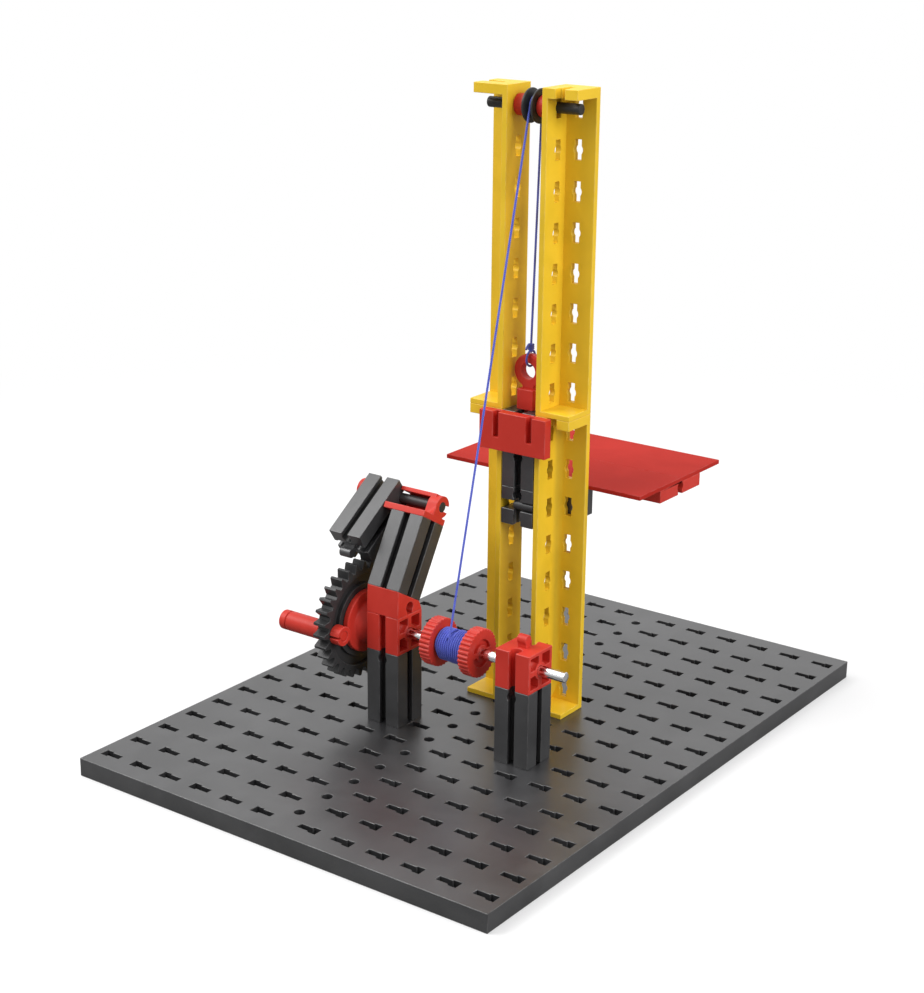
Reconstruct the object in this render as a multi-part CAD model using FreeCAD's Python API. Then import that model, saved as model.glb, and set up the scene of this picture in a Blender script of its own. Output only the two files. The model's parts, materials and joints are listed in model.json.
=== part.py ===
# Winch lift model: a crank, a toothed wheel and a drum wind a string, which runs over a pulley and
# lifts a carriage with a platform between the two columns of a slotted tower. All sizes are in
# millimetres. The origin is the centre of the base plate's underside, +X runs along the winch axle
# to its free end, +Y runs from the winch to the tower, and +Z is up.
import FreeCAD, Part
import math
import os

from FreeCAD import Vector

# The building module: block edge, and the pitch of every slot, hole and column
module = 15.0

# Clearances
key_gap = 0.1       # a tenon in its slot, all round
running_gap = 0.05  # an axle in its bore, on the radius
clamp_gap = 0.01    # a sleeve clamped on its axle, on the radius
guide_gap = 0.3     # the carriage to the tower
turning_gap = 0.3   # a turning face to the fixed face beside it
string_gap = 0.2    # between the string and what turns beside it
past = 1.0          # how far a cutter runs past the face that it cuts
sunk = 0.5          # how far a tenon's root reaches into its own piece

# Axles
axle_r = 2.0

# Keyhole grooves in the blocks and the tenons that slide into them
groove_w = 2.9
channel_r = 2.05
channel_depth = 2.9
tenon_len = 4.0

# Base plate
plate_t = 7.2
plate_columns = 6
plate_rows = 17
plate_margin_x = 10.5
plate_margin_y = 9.4
slot_w = 2.6
slot_len = 4.0
entry_w = 4.0
entry_len = 3.3
plate_hole_r = 2.0
plate_tenon_depth = 6.0

# Winch stand: posts, bearing blocks, wedge, leaning post
winch_row = -2
left_post_column = -1.5
right_post_column = 2.5
post_h = 30.0
pocket_w = 5.0
pocket_depth = 4.3
pocket_pitch = 7.3
pocket_hub_r = 3.3
wedge_angle = 30.0
wedge_thin = 3.6
wedge_inset = 0.5

# Winch axle and toothed wheel
winch_axle_len = 100.0
winch_axle_out = 11.0
gear_teeth = 30
gear_tip_r = 23.3
gear_root_r = 20.3
tooth_tip_half = 0.5
tooth_root_half = 1.55
gear_t = 5.6
web_inner_r = 14.5
web_outer_r = 18.4
web_recess = 1.6
gear_inset = 8.0
collet_r = 4.5
collet_flange_r = 6.5
collet_flange_t = 1.0
collet_slit = 0.8
collet_slit_len = 5.0
nut_r = 12.4
nut_rim_t = 2.6
nut_cone_r = 8.0
nut_tip_r = 5.6
nut_len = 7.0

# Crank on the toothed wheel
crank_r = 16.5
crank_angle = -3.4
crank_cap_t = 3.0
crank_grip_r = 3.85
crank_grip_len = 16.55
clip_len = 4.3
clip_slit = 0.9

# Drum and string
drum_column = 0.5
drum_len = 22.5
drum_flange_t = 4.6
drum_flange_r = 9.4
drum_core_r = 4.5
knurl_count = 32
knurl_depth = 0.5
flange_pocket_inner_r = 3.2
flange_pocket_outer_r = 5.4
flange_pocket_depth = 1.2
flange_bridge = 2.0
string_d = 0.9
turn_pitch = 1.35
winding_gap = 0.05
gap_sample = 0.5    # how finely the gap between turns is measured

# Pawl hinge
hinge_back = 10.6
hinge_rise = 6.4
bracket_base_t = 2.4
bracket_lug_t = 4.6
bracket_lug_r = 4.3
bracket_wall_t = 1.6
bracket_bar_t = 1.6
bracket_trough = 3.2
bracket_trough_len = 14.5
lug_slit = 2.6
clip_collar_t = 4.5
pawl_len = 30.0
pawl_tip_r = 1.9
pawl_tip_len = 5.0
pawl_rest_gap = 0.15
pawl_drop_r = 22.1
pawl_gap_lead = 1.5
pawl_side_groove = 6.5

# Tower girders
girder_len = 120.0
left_girder_column = -0.5
right_girder_column = 1.5
tower_row = 1
girder_wall = 2.3
girder_foot_t = 2.0
girder_head_t = 3.75
girder_head_tenon = 3.4
window_r = 2.05
window_slit_w = 3.0
window_len = 7.5

# Pulley on the top axle
top_axle_len = 40.0
top_axle_left = 13.0
pulley_r = 6.3
pulley_groove_r = 3.15
pulley_t = 5.0
pulley_rim = 0.8
bushing_r = 4.0
pulley_side_gap = 0.1
pulley_string_r = 3.75

# Carriage and platform
front_plate_len = 30.0
front_plate_t = 4.1
front_slot_w = 2.5
front_slot_depth = 10.0
front_slot_floor = 1.2
pin_slot_h = 3.7
pin_slot_depth = 3.7
pin_slot_rise = 6.1
pin_mouth_depth = 9.0
carriage_pin_r = 1.8
carriage_pin_len = 9.0
lower_notch_w = 3.4
lower_notch_h = 4.0
eye_base = 7.3
eye_base_h = 8.0
eye_r = 6.5
eye_hole_r = 3.1
eye_t = 3.7
eye_neck = 5.0
eye_rise = 14.7
eye_edge_r = 1.0
rear_block_len = 30.0
deck_len = 90.0
deck_w = 30.0
deck_t = 1.7
deck_start = 0.5
joining_len = 30.0
joining_w = 15.0
joining_h = 5.0
deck_peg_r = 1.9
deck_peg_len = 3.5
knot_r = 1.3
knot_rise = 2.6
tail_len = 4.0

# Places that follow from the sizes above
cell = module / 2
plate_x = (2 * plate_columns - 1) * module + 2 * plate_margin_x
plate_y = (plate_rows - 1) * module + 2 * plate_margin_y
winch_y = winch_row * module
winch_z = plate_t + post_h + module / 2
tower_y = tower_row * module
tower_front = tower_y - cell
tower_back = tower_y + cell
tower_left = left_girder_column * module + cell
tower_right = right_girder_column * module - cell
left_post_x = left_post_column * module
right_post_x = right_post_column * module
drum_x = drum_column * module
winch_axle_end = right_post_x + cell + winch_axle_out
winch_axle_start = winch_axle_end - winch_axle_len
gear_x1 = left_post_x - cell - gear_inset
gear_x0 = gear_x1 - gear_t
top_axle_z = plate_t + 2 * girder_len - module / 2
carriage_x = (tower_left + tower_right) / 2
carriage_top = plate_t + girder_len
upper_z = carriage_top - module
lower_z = upper_z - 2 * module
tenon_r = channel_r - key_gap
tenon_w = groove_w - 2 * key_gap
bore_r = axle_r + running_gap
clamp_r = axle_r + clamp_gap
string_r = string_d / 2

X_AXIS = Vector(1, 0, 0)
Y_AXIS = Vector(0, 1, 0)
Z_AXIS = Vector(0, 0, 1)


def box(x0, x1, y0, y1, z0, z1):
    """An upright box between two corners."""
    return Part.makeBox(x1 - x0, y1 - y0, z1 - z0, Vector(x0, y0, z0))


def rod(start, direction, length, radius):
    """A round rod from a point along a direction."""
    return Part.makeCylinder(radius, length, start, direction)


def set_at(shape, origin, along, outward):
    """A shape drawn with +Z as its run and +Y as its outward side, moved to its place."""
    side = outward.cross(along)
    matrix = FreeCAD.Matrix(
        side.x, outward.x, along.x, origin.x,
        side.y, outward.y, along.y, origin.y,
        side.z, outward.z, along.z, origin.z,
        0, 0, 0, 1)
    moved = shape.copy()
    moved.Placement = FreeCAD.Placement(matrix)
    return moved


def groove(origin, along, outward, length):
    """Cutter for a keyhole groove that starts at a point on a face and runs along it."""
    neck = box(-groove_w / 2, groove_w / 2, -channel_depth, past, 0, length)
    channel = rod(Vector(0, -channel_depth, 0), Z_AXIS, length, channel_r)
    return set_at(neck.fuse(channel), origin, along, outward)


def tenon(origin, along, outward):
    """A tenon on a face, centred on a point, whose round head fits a keyhole groove."""
    neck = box(-tenon_w / 2, tenon_w / 2, -sunk, channel_depth, -tenon_len / 2, tenon_len / 2)
    head = rod(Vector(0, channel_depth, -tenon_len / 2), Z_AXIS, tenon_len, tenon_r)
    return set_at(neck.fuse(head), origin, along, outward)


def plate_turn(x):
    """How far the plate's slots at a place are turned about Z: all entries point outward."""
    return 180 if x < 0 else 0


def slot_tenon(x, y, z_top, depth, turn):
    """A flat tenon for the narrow end of a slot in the plate or a girder head, turned about Z."""
    half = slot_w / 2 - key_gap
    round_end = rod(Vector(0, 0, -depth), Z_AXIS, depth + sunk, half)
    bar = round_end.fuse(box(0, slot_len - key_gap, -half, half, -depth, sunk)).removeSplitter()
    bar.rotate(Vector(0, 0, 0), Z_AXIS, turn)
    bar.translate(Vector(x, y, z_top))
    return bar


def slot_cutter(x, y, z0, z1, turn, entry_end):
    """A keyhole slot seen from above: square end about a centre, wider entry, turned about Z."""
    narrow = box(-slot_w / 2, slot_len, -slot_w / 2, slot_w / 2, z0, z1)
    entry = box(slot_len, entry_end, -entry_w / 2, entry_w / 2, z0, z1)
    cutter = narrow.fuse(entry).removeSplitter()
    cutter.rotate(Vector(0, 0, 0), Z_AXIS, turn)
    cutter.translate(Vector(x, y, 0))
    return cutter


def block(x, y, z, length_x, height, sides, top_groove=True):
    """A square block standing on z, with keyhole grooves up its sides and across its top."""
    half = length_x / 2
    body = box(x - half, x + half, y - cell, y + cell, z, z + height)
    columns = [x] if length_x < 2 * module else [x - cell, x + cell]
    places = {"front": [(c, y - cell, -Y_AXIS) for c in columns],
              "back": [(c, y + cell, Y_AXIS) for c in columns],
              "left": [(x - half, y, -X_AXIS)],
              "right": [(x + half, y, X_AXIS)]}
    cutters = []
    for name in sides:
        for face_x, face_y, outward in places[name]:
            start = Vector(face_x, face_y, z - past)
            cutters.append(groove(start, Z_AXIS, outward, height + 2 * past))
    if top_groove:
        cutters.append(groove(Vector(x, y - cell - past, z + height), Y_AXIS, Z_AXIS, module + 2 * past))
    return body.cut(cutters)


def polygon(points):
    """A closed face through points."""
    return Part.Face(Part.makePolygon(points + [points[0]]))


def arc_turn(start, start_dir, end, end_dir):
    """Two arcs from one point and direction to another, tangent at both ends and where they meet."""
    chord = end - start
    both = start_dir + end_dir
    quad = both.dot(both) - 4
    linear = chord.dot(both)
    square = chord.dot(chord)
    reach = (linear - math.sqrt(linear * linear - quad * square)) / quad if abs(quad) > 1e-9 else 0
    reach = abs(reach)
    meet = (start + start_dir * reach + end - end_dir * reach) * 0.5
    edges = []
    for first, corner, last in ((start, start + start_dir * reach, meet), (meet, end - end_dir * reach, end)):
        middle = (first + last) * 0.5
        lever = corner - middle
        half_turn = math.atan2(lever.Length, (last - first).Length / 2)
        top = middle + lever * (math.tan(half_turn / 2) / math.tan(half_turn))
        edges.append(Part.Arc(first, top, last).toShape())
    return edges


def tube(edges, start, start_dir, name):
    """A string's solid along edges, with its volume against its section times its length."""
    wire = Part.Wire(edges)
    ring = Part.Wire([Part.makeCircle(string_r, start, start_dir)])
    shell = Part.BRepOffsetAPI.MakePipeShell(wire)
    shell.add(ring)
    shell.build()
    shell.makeSolid()
    solid = shell.shape()
    length = sum(edge.Length for edge in edges)
    share = solid.Volume / (math.pi * string_r ** 2 * length)
    print("%s: length %.1f mm, volume over section x length %.4f" % (name, length, share))
    return solid


def helix_edges(centre, radius, x0, x1, angle0, angle1, flat_end):
    """Quarter turns about an axle along X, each of two arcs, from x0 to x1 between two angles."""
    quarters = max(1, round(abs(angle1 - angle0) / (math.pi / 2)))
    step = (angle1 - angle0) / quarters
    climb = (x1 - x0) / (angle1 - angle0)
    edges = []
    points = []
    for k in range(quarters + 1):
        angle = angle0 + k * step
        place = centre + Vector(x0 - centre.x + climb * (angle - angle0),
                                radius * math.cos(angle), radius * math.sin(angle))
        lead = 0 if flat_end and k == quarters else climb
        heading = Vector(lead, -radius * math.sin(angle), radius * math.cos(angle))
        heading = heading * math.copysign(1, step)
        points.append((place, heading.normalize()))
    for (start, start_dir), (end, end_dir) in zip(points, points[1:]):
        edges += arc_turn(start, start_dir, end, end_dir)
    return edges, points


def least_turn_gap(edges, turn_length):
    """The least gap between one part of a tube and another part at least half a turn away."""
    samples = []
    travelled = 0
    for edge in edges:
        count = max(3, int(edge.Length / gap_sample))
        for point in edge.discretize(Number=count)[:-1]:
            samples.append((travelled, point))
            travelled += edge.Length / (count - 1)
    least = 1e9
    for i, (s, p) in enumerate(samples):
        for t, q in samples[i + 1:]:
            if t - s > turn_length / 2:
                least = min(least, (p - q).Length)
    return least - string_d


def base_plate():
    """The grooved plate: keyhole slots in two mirrored fields and a row of round holes between."""
    half_x = plate_x / 2
    half_y = plate_y / 2
    body = box(-half_x, half_x, -half_y, half_y, 0, plate_t)
    cutters = []
    for row in range(plate_rows):
        y = (row - (plate_rows - 1) / 2) * module
        for column in range(plate_columns):
            for side in (-1, 1):
                x = side * (column + 0.5) * module
                cutters.append(slot_cutter(x, y, -past, plate_t + past, plate_turn(x), slot_len + entry_len))
        if row:
            cutters.append(rod(Vector(0, y - module / 2, -past), Z_AXIS, plate_t + 2 * past, plate_hole_r))
    return body.cut(cutters)


def winch_post(x):
    """A grooved post with its tenon in a slot of the plate."""
    body = block(x, winch_y, plate_t, module, post_h, ("front", "back", "left", "right"))
    return body.fuse(slot_tenon(x, winch_y, plate_t, plate_tenon_depth, plate_turn(x)))


def bearing_block(x):
    """A block with four square pockets round a bored hub on each side, and two tenons."""
    z = plate_t + post_h
    body = block(x, winch_y, z, module, module, ("front", "back"), top_groove=False)
    cutters = []
    for dy in (-pocket_pitch / 2, pocket_pitch / 2):
        for dz in (-pocket_pitch / 2, pocket_pitch / 2):
            y0 = winch_y + dy - pocket_w / 2
            z0 = winch_z + dz - pocket_w / 2
            for x0 in (x - cell - past, x + cell - pocket_depth):
                cutters.append(box(x0, x0 + pocket_depth + past, y0, y0 + pocket_w, z0, z0 + pocket_w))
    hubs = [rod(Vector(x0, winch_y, winch_z), X_AXIS, pocket_depth, pocket_hub_r)
            for x0 in (x - cell, x + cell - pocket_depth)]
    bore = rod(Vector(x - cell - past, winch_y, winch_z), X_AXIS, module + 2 * past, bore_r)
    body = body.cut(cutters).fuse(hubs).cut(bore)
    foot = tenon(Vector(x, winch_y, z), Y_AXIS, -Z_AXIS)
    head = tenon(Vector(x, winch_y, z + module), X_AXIS, Z_AXIS)
    return body.fuse([foot, head])


# The wedge's section in the plane across the winch axle, and the directions of its sloping top
slope = math.radians(wedge_angle)
across = Vector(0, math.cos(slope), -math.sin(slope))
upward = Vector(0, math.sin(slope), math.cos(slope))
wedge_z = winch_z + module / 2
wedge_thin_edge = Vector(0, winch_y + cell - wedge_inset - module * (1 - math.cos(slope)) / 2,
                         wedge_z + wedge_thin)
wedge_thick_edge = wedge_thin_edge - across * module


def wedge_block():
    """The wedge: flat base with a groove for the bearing block's tenon, sloping top with a tenon."""
    x0 = left_post_x - cell
    section = [Vector(x0, winch_y - cell, wedge_z), Vector(x0, winch_y + cell, wedge_z),
               Vector(x0, wedge_thin_edge.y, wedge_thin_edge.z),
               Vector(x0, wedge_thick_edge.y, wedge_thick_edge.z)]
    body = polygon(section).extrude(X_AXIS * module)
    body = body.cut(groove(Vector(x0 - past, winch_y, wedge_z), X_AXIS, -Z_AXIS, module + 2 * past))
    seat = wedge_thick_edge + across * cell + X_AXIS * left_post_x
    return body.fuse(tenon(seat, across, upward))


def leaning_post():
    """The grooved post on the wedge, with a groove in each end that opens at the back."""
    body = block(0, 0, 0, module, post_h, ("front", "back", "left", "right"), top_groove=False)
    start = -tenon_len / 2 - key_gap
    for z, outward in ((0, -Z_AXIS), (post_h, Z_AXIS)):
        body = body.cut(groove(Vector(0, start, z), Y_AXIS, outward, cell + past - start))
    seat = wedge_thick_edge + across * cell + X_AXIS * left_post_x
    return set_at(body, seat, upward, across)


# The hinge axis, and the frame of the leaning post's upper face
hinge_seat = wedge_thick_edge + upward * post_h
hinge_axis = hinge_seat + across * hinge_back + upward * hinge_rise
hinge_x1 = left_post_x + cell
lug_x0 = hinge_x1 - bracket_lug_t
bracket_x0 = lug_x0 - bracket_trough_len
pawl_x1 = bracket_x0 - turning_gap
pawl_x0 = pawl_x1 - module
clip_x1 = pawl_x0 - turning_gap
clip_x0 = clip_x1 - clip_collar_t


def on_post(x, back, rise):
    """A point by its distance back along the leaning post's upper face and its height above it."""
    return Vector(x, 0, 0) + hinge_seat + across * back + upward * rise


def hinge_bracket():
    """The red bracket: a trough for the axle, and a lug that clips round the axle at its right."""
    x0 = bracket_x0
    width = hinge_x1 - x0
    back = hinge_back + bracket_trough

    def bar(x, run, back0, back1, rise0, rise1):
        corners = [on_post(x, back0, rise0), on_post(x, back1, rise0),
                   on_post(x, back1, rise1), on_post(x, back0, rise1)]
        return polygon(corners).extrude(X_AXIS * run)

    roof = hinge_rise + bracket_lug_r
    base = bar(x0, width, 0, module, 0, bracket_base_t)
    wall = bar(x0, width - bracket_lug_t, back, back + bracket_wall_t, 0, roof)
    top = bar(x0, width - bracket_lug_t / 2, hinge_back - bracket_trough, back + bracket_wall_t,
              roof - bracket_bar_t, roof)
    lug = rod(on_post(lug_x0, hinge_back, hinge_rise), X_AXIS, bracket_lug_t, bracket_lug_r)
    cheek = bar(lug_x0, bracket_lug_t, hinge_back - bracket_lug_r, hinge_back + bracket_lug_r / 2,
                0, hinge_rise)
    body = base.fuse([wall, top, lug, cheek])
    bore = rod(on_post(x0 - past, hinge_back, hinge_rise), X_AXIS, width + 2 * past, clamp_r)
    slit = bar(lug_x0 + bracket_lug_t / 2, bracket_lug_t, hinge_back, hinge_back + 2 * bracket_lug_r,
               hinge_rise - lug_slit / 2, hinge_rise + lug_slit / 2)
    return body.cut([bore, slit]).fuse(tenon(on_post(left_post_x, cell, 0), across, -upward))


def hinge_clip():
    """The red collar on the hinge axle's left end, which keeps the pawl on it."""
    start = hinge_axis + X_AXIS * clip_x0
    bore = rod(start - X_AXIS * past, X_AXIS, clip_collar_t + 2 * past, clamp_r)
    return rod(start, X_AXIS, clip_collar_t, bracket_lug_r).cut(bore)


# The pawl's lower end edge drops between the teeth: its distance from the hinge axle, and how far
# its direction lies from the block's own
pawl_edge_arm = math.hypot(pawl_len - channel_depth, cell)
pawl_edge_lead = math.atan2(cell, pawl_len - channel_depth)


def pawl_angle(reach):
    """The block's direction from its axle, from +Y toward +Z, with its edge at a reach of the gear."""
    to_gear = Vector(0, winch_y, winch_z) - hinge_axis
    cosine = (to_gear.Length ** 2 + pawl_edge_arm ** 2 - reach ** 2) / (2 * to_gear.Length * pawl_edge_arm)
    return math.atan2(to_gear.z, to_gear.y) - math.acos(cosine) - pawl_edge_lead


pawl_rest_angle = pawl_angle(gear_tip_r + pawl_rest_gap)
pawl_drop_angle = pawl_angle(pawl_drop_r)


def pawl_block():
    """The grooved block that hangs on the hinge axle by its end groove, with a tenon at its tip."""
    length = pawl_len
    half_tip = pawl_tip_len / 2
    body = box(-cell, cell, -cell, cell, 0, length)
    for outward in (Y_AXIS, -Y_AXIS):
        body = body.cut(groove(outward * cell - Z_AXIS * past, Z_AXIS, outward, length + 2 * past))
    for outward in (X_AXIS, -X_AXIS):
        start = outward * cell + Z_AXIS * pawl_side_groove
        body = body.cut(groove(start, Z_AXIS, outward, length + past))
    mouth = groove(Vector(-cell - past, 0, 0), X_AXIS, -Z_AXIS, module + 2 * past)
    neck = box(-half_tip, half_tip, -tenon_w / 2, tenon_w / 2, length - sunk, length + channel_depth)
    head = rod(Vector(-half_tip, 0, length + channel_depth), X_AXIS, pawl_tip_len, pawl_tip_r)
    body = body.cut(mouth).fuse([neck, head])
    along = Vector(0, math.cos(pawl_rest_angle), math.sin(pawl_rest_angle))
    outward = Vector(0, math.sin(pawl_rest_angle), -math.cos(pawl_rest_angle))
    origin = hinge_axis + X_AXIS * (pawl_x0 + cell) - along * channel_depth
    return set_at(body, origin, along, outward)


def gear():
    """The toothed wheel: straight-sided teeth, a recessed web, a hole for the crank pin."""
    pitch = 2 * math.pi / gear_teeth
    edge_angle = pawl_drop_angle + pawl_edge_lead
    edge = hinge_axis + Vector(0, math.cos(edge_angle), math.sin(edge_angle)) * pawl_edge_arm
    gap_angle = math.atan2(edge.z - winch_z, edge.y - winch_y) + math.radians(pawl_gap_lead)
    points = []
    for tooth in range(gear_teeth):
        middle = gap_angle + (tooth + 0.5) * pitch
        for radius, half in ((gear_root_r, -tooth_root_half), (gear_tip_r, -tooth_tip_half),
                             (gear_tip_r, tooth_tip_half), (gear_root_r, tooth_root_half)):
            angle = middle + half / radius
            points.append(Vector(gear_x0, winch_y + radius * math.cos(angle),
                                 winch_z + radius * math.sin(angle)))
    body = polygon(points).extrude(X_AXIS * gear_t)
    cutters = [rod(Vector(gear_x0 - past, winch_y, winch_z), X_AXIS, gear_t + 2 * past, collet_r + clamp_gap)]
    for x in (gear_x0 - past, gear_x1 - web_recess):
        start = Vector(x, winch_y, winch_z)
        ring = rod(start, X_AXIS, web_recess + past, web_outer_r)
        cutters.append(ring.cut(rod(start, X_AXIS, web_recess + past, web_inner_r)))
    centre = crank_centre()
    cutters.append(rod(Vector(gear_x0 - past, centre.y, centre.z), X_AXIS, gear_t + 2 * past, clamp_r))
    return body.cut(cutters)


def crank_centre():
    """The crank pin's axis: to the winch's front, a little below its axle."""
    angle = math.radians(180 - crank_angle)
    return Vector(0, winch_y + crank_r * math.cos(angle), winch_z + crank_r * math.sin(angle))


def hub_collet():
    """The slit sleeve that grips the axle inside the wheel, with a flange on its outer side."""
    start = Vector(gear_x0 - collet_flange_t, winch_y, winch_z)
    length = collet_flange_t + gear_t + nut_len
    body = rod(start, X_AXIS, collet_flange_t, collet_flange_r)
    body = body.fuse(rod(start, X_AXIS, length, collet_r))
    body = body.cut(rod(start - X_AXIS * past, X_AXIS, length + 2 * past, clamp_r))
    end = start.x + length
    slit = collet_slit / 2
    reach = collet_r + past
    cutters = [box(end - collet_slit_len, end + past, winch_y - reach, winch_y + reach,
                   winch_z - slit, winch_z + slit),
               box(end - collet_slit_len, end + past, winch_y - slit, winch_y + slit,
                   winch_z - reach, winch_z + reach)]
    return body.cut(cutters)


def hub_nut():
    """The round nut against the wheel, with a cone toward the bearing block."""
    start = Vector(gear_x1, winch_y, winch_z)
    body = rod(start, X_AXIS, nut_rim_t, nut_r)
    cone = Part.makeCone(nut_cone_r, nut_tip_r, nut_len - nut_rim_t, start + X_AXIS * nut_rim_t, X_AXIS)
    return body.fuse(cone).cut(rod(start - X_AXIS * past, X_AXIS, nut_len + 2 * past, collet_r + clamp_gap))


def crank_parts():
    """The crank: capped pin through the wheel, the sleeve that turns on it, the clip behind."""
    centre = crank_centre()
    grip_x1 = gear_x0 - turning_gap
    grip_x0 = grip_x1 - crank_grip_len
    cap_x1 = grip_x0 - turning_gap / 2
    cap_x0 = cap_x1 - crank_cap_t
    clip_end = gear_x1 + clip_len
    pin = rod(centre + X_AXIS * cap_x0, X_AXIS, crank_cap_t, crank_grip_r)
    pin = pin.fuse(rod(centre + X_AXIS * cap_x0, X_AXIS, clip_end - cap_x0, axle_r))
    grip = rod(centre + X_AXIS * grip_x0, X_AXIS, crank_grip_len, crank_grip_r)
    grip = grip.cut(rod(centre + X_AXIS * (grip_x0 - past), X_AXIS, crank_grip_len + 2 * past, bore_r))
    clip = rod(centre + X_AXIS * gear_x1, X_AXIS, clip_len, crank_grip_r)
    clip = clip.cut([rod(centre + X_AXIS * (gear_x1 - past), X_AXIS, clip_len + 2 * past, clamp_r),
                     box(gear_x1 - past, clip_end + past, centre.y - 2 * crank_grip_r, centre.y,
                         centre.z - clip_slit / 2, centre.z + clip_slit / 2)])
    return {"crank_pin": pin, "crank_grip": grip, "crank_clip": clip}


drum_x0 = drum_x - drum_len / 2
drum_x1 = drum_x + drum_len / 2
core_x0 = drum_x0 + drum_flange_t
core_x1 = drum_x1 - drum_flange_t
winding_r = drum_core_r + winding_gap + string_r
run_r = winding_r + string_d + string_gap


def drum_flange(x0, face_x):
    """A knurled flange of the drum, with two curved pockets in its outer face."""
    points = []
    for ridge in range(knurl_count):
        for part, radius in ((0.1, drum_flange_r - knurl_depth), (0.35, drum_flange_r),
                             (0.75, drum_flange_r), (1.0, drum_flange_r - knurl_depth)):
            angle = 2 * math.pi * (ridge + part) / knurl_count
            points.append(Vector(x0, winch_y + radius * math.cos(angle), winch_z + radius * math.sin(angle)))
    body = polygon(points).extrude(X_AXIS * drum_flange_t)
    axis = Vector(x0 - past, winch_y, winch_z)
    body = body.cut(rod(axis, X_AXIS, drum_flange_t + 2 * past, clamp_r))
    pocket_x = face_x - flange_pocket_depth
    start = Vector(pocket_x, winch_y, winch_z)
    ring = rod(start, X_AXIS, 2 * flange_pocket_depth, flange_pocket_outer_r)
    ring = ring.cut(rod(start, X_AXIS, 2 * flange_pocket_depth, flange_pocket_inner_r))
    reach = flange_pocket_outer_r + past
    bridge = box(pocket_x - past, pocket_x + 2 * flange_pocket_depth, winch_y - reach, winch_y + reach,
                 winch_z - flange_bridge / 2, winch_z + flange_bridge / 2)
    return body.cut(ring.cut(bridge))


def drum_core():
    """The plain core that the string is wound on."""
    axis = Vector(core_x0, winch_y, winch_z)
    body = rod(axis, X_AXIS, core_x1 - core_x0, drum_core_r)
    return body.cut(rod(axis - X_AXIS * past, X_AXIS, core_x1 - core_x0 + 2 * past, clamp_r))


def string_winding():
    """The inner layer of turns on the core: one tube with straight ends, one diameter long."""
    x0 = core_x0 + string_gap + string_r
    x1 = core_x1 - string_gap - string_r
    quarters = int(4 * (x1 - x0) / turn_pitch)
    centre = Vector(0, winch_y, winch_z)
    angle1 = quarters * math.pi / 2
    edges, points = helix_edges(centre, winding_r, x0, x1, 0, angle1, False)
    first, first_dir = points[0]
    last, last_dir = points[-1]
    start = first - first_dir * string_d
    edges.insert(0, Part.LineSegment(start, first).toShape())
    edges.append(Part.LineSegment(last, last + last_dir * string_d).toShape())
    gap = least_turn_gap(edges, 2 * math.pi * winding_r)
    print("string_winding: %.2f turns, least gap to itself %.2f mm" % (quarters / 4, gap))
    return tube(edges, start, first_dir, "string_winding")


# The string's straight runs: tangents from the drum to the pulley's front, and from its back to
# the knot on the carriage
drum_to_pulley = Vector(0, tower_y - winch_y, top_axle_z - winch_z)
lean = math.asin((run_r - pulley_string_r) / drum_to_pulley.Length)
run_angle = math.atan2(drum_to_pulley.z, drum_to_pulley.y) + math.pi / 2 - lean
run_out = Vector(0, math.cos(run_angle), math.sin(run_angle))
run_up = Vector(0, math.sin(run_angle), -math.cos(run_angle))
pulley_centre = Vector(carriage_x, tower_y, top_axle_z)
knot_top = Vector(carriage_x, tower_y, carriage_top + eye_rise + eye_r + knot_rise + knot_r)
hoist_reach = pulley_centre.z - knot_top.z
hoist_angle = math.acos(pulley_string_r / hoist_reach) - math.pi / 2
hoist_out = Vector(0, math.cos(hoist_angle), math.sin(hoist_angle))
hoist_end = pulley_centre + hoist_out * pulley_string_r


def string_run():
    """The outer turns on the drum, the straight run up to the pulley and the arc over it."""
    x1 = core_x1 - string_gap - string_r
    drum_centre = Vector(drum_x, winch_y, winch_z)
    quarters = int(4 * (x1 - drum_x) / turn_pitch)
    start_angle = run_angle + quarters * math.pi / 2
    edges, points = helix_edges(drum_centre, run_r, x1, drum_x, start_angle, run_angle, True)
    first, first_dir = points[0]
    start = first - first_dir * string_d
    edges.insert(0, Part.LineSegment(start, first).toShape())
    gap = least_turn_gap(edges, 2 * math.pi * run_r)
    print("string_run: %.2f turns on the drum, least gap to itself %.2f mm" % (quarters / 4, gap))
    leave = drum_centre + run_out * run_r
    arrive = pulley_centre + run_out * pulley_string_r
    edges.append(Part.LineSegment(leave, arrive).toShape())
    middle = (run_angle + hoist_angle) / 2
    over = pulley_centre + Vector(0, math.cos(middle), math.sin(middle)) * pulley_string_r
    edges.append(Part.Arc(arrive, over, hoist_end).toShape())
    print("string_run: arc radius %.2f mm over the pulley, straight run %.1f mm"
          % (pulley_string_r, (arrive - leave).Length))
    return tube(edges, start, first_dir, "string_run")


def string_hoist():
    """The straight run from the back of the pulley down to the knot."""
    direction = knot_top - hoist_end
    print("string_hoist: fixed end z %.3f mm, length %.2f mm" % (hoist_end.z, direction.Length))
    return rod(hoist_end, direction, direction.Length, string_r)


# Where the slots in the girders' heads point, as turns about Z: left, and to the front
left_turn = 180
right_turn = -90


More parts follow.
